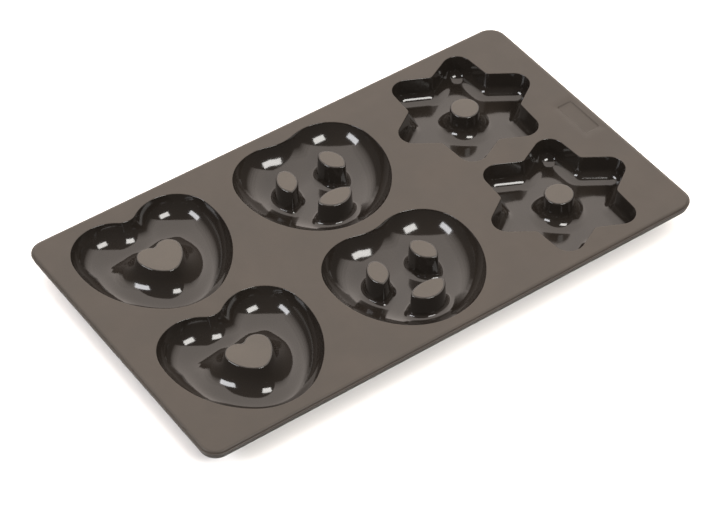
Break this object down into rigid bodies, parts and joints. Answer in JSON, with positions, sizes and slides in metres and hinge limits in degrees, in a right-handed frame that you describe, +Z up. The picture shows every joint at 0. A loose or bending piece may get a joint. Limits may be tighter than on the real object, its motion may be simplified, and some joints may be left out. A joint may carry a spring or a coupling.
{
  "type": "silicone gingerbread mold",
  "caption": "Flexible silicone baking mould: a flat sheet with a low rim and deep cups for heart, pretzel and star biscuits with holes. Bends across the webs between its columns.",
  "frame": {"origin": "on the table, under the middle of the sheet", "axes": "+X along the sheet from the hearts to the stars, +Y across it to the back row, +Z up out of the cups"},
  "size_m": [0.3, 0.173, 0.0165],
  "materials": {
    "matte_silicone": "fine matte texture, grey-brown",
    "glossy_silicone": "polished, dark grey-brown, mirror-like highlights"
  },
  "bodies": {
    "hearts_panel": {"sheet_left": "matte_silicone", "rim_left": "matte_silicone", "heart_wall_front": "glossy_silicone", "heart_wall_back": "glossy_silicone", "heart_floor_front": "glossy_silicone", "heart_floor_back": "glossy_silicone", "heart_core_front": "glossy_silicone", "heart_core_back": "glossy_silicone"},
    "pretzels_panel": {"sheet_middle": "matte_silicone", "rim_middle_front": "matte_silicone", "rim_middle_back": "matte_silicone", "pretzel_wall_front": "glossy_silicone", "pretzel_wall_back": "glossy_silicone", "pretzel_floor_front": "glossy_silicone", "pretzel_floor_back": "glossy_silicone", "pretzel_post_left_front": "glossy_silicone", "pretzel_post_right_front": "glossy_silicone", "pretzel_post_low_front": "glossy_silicone", "pretzel_post_left_back": "glossy_silicone", "pretzel_post_right_back": "glossy_silicone", "pretzel_post_low_back": "glossy_silicone"},
    "stars_panel": {"sheet_right": "matte_silicone", "blank_label_panel": "matte_silicone", "rim_right": "matte_silicone", "star_wall_front": "glossy_silicone", "star_wall_back": "glossy_silicone", "star_floor_front": "glossy_silicone", "star_floor_back": "glossy_silicone", "star_post_front": "glossy_silicone", "star_post_back": "glossy_silicone"}
  },
  "joints": [
    {"name": "left_web_bend", "type": "hinge", "parent": "pretzels_panel", "child": "hearts_panel", "pos_m": [-0.0484, 0, 0.0155], "axis": [0, 1, 0], "range_deg": [-35, 60], "stiffness_Nm_per_rad": 0.08},
    {"name": "right_web_bend", "type": "hinge", "parent": "pretzels_panel", "child": "stars_panel", "pos_m": [0.0476, 0, 0.0155], "axis": [0, -1, 0], "range_deg": [-35, 60], "stiffness_Nm_per_rad": 0.08}
  ]
}
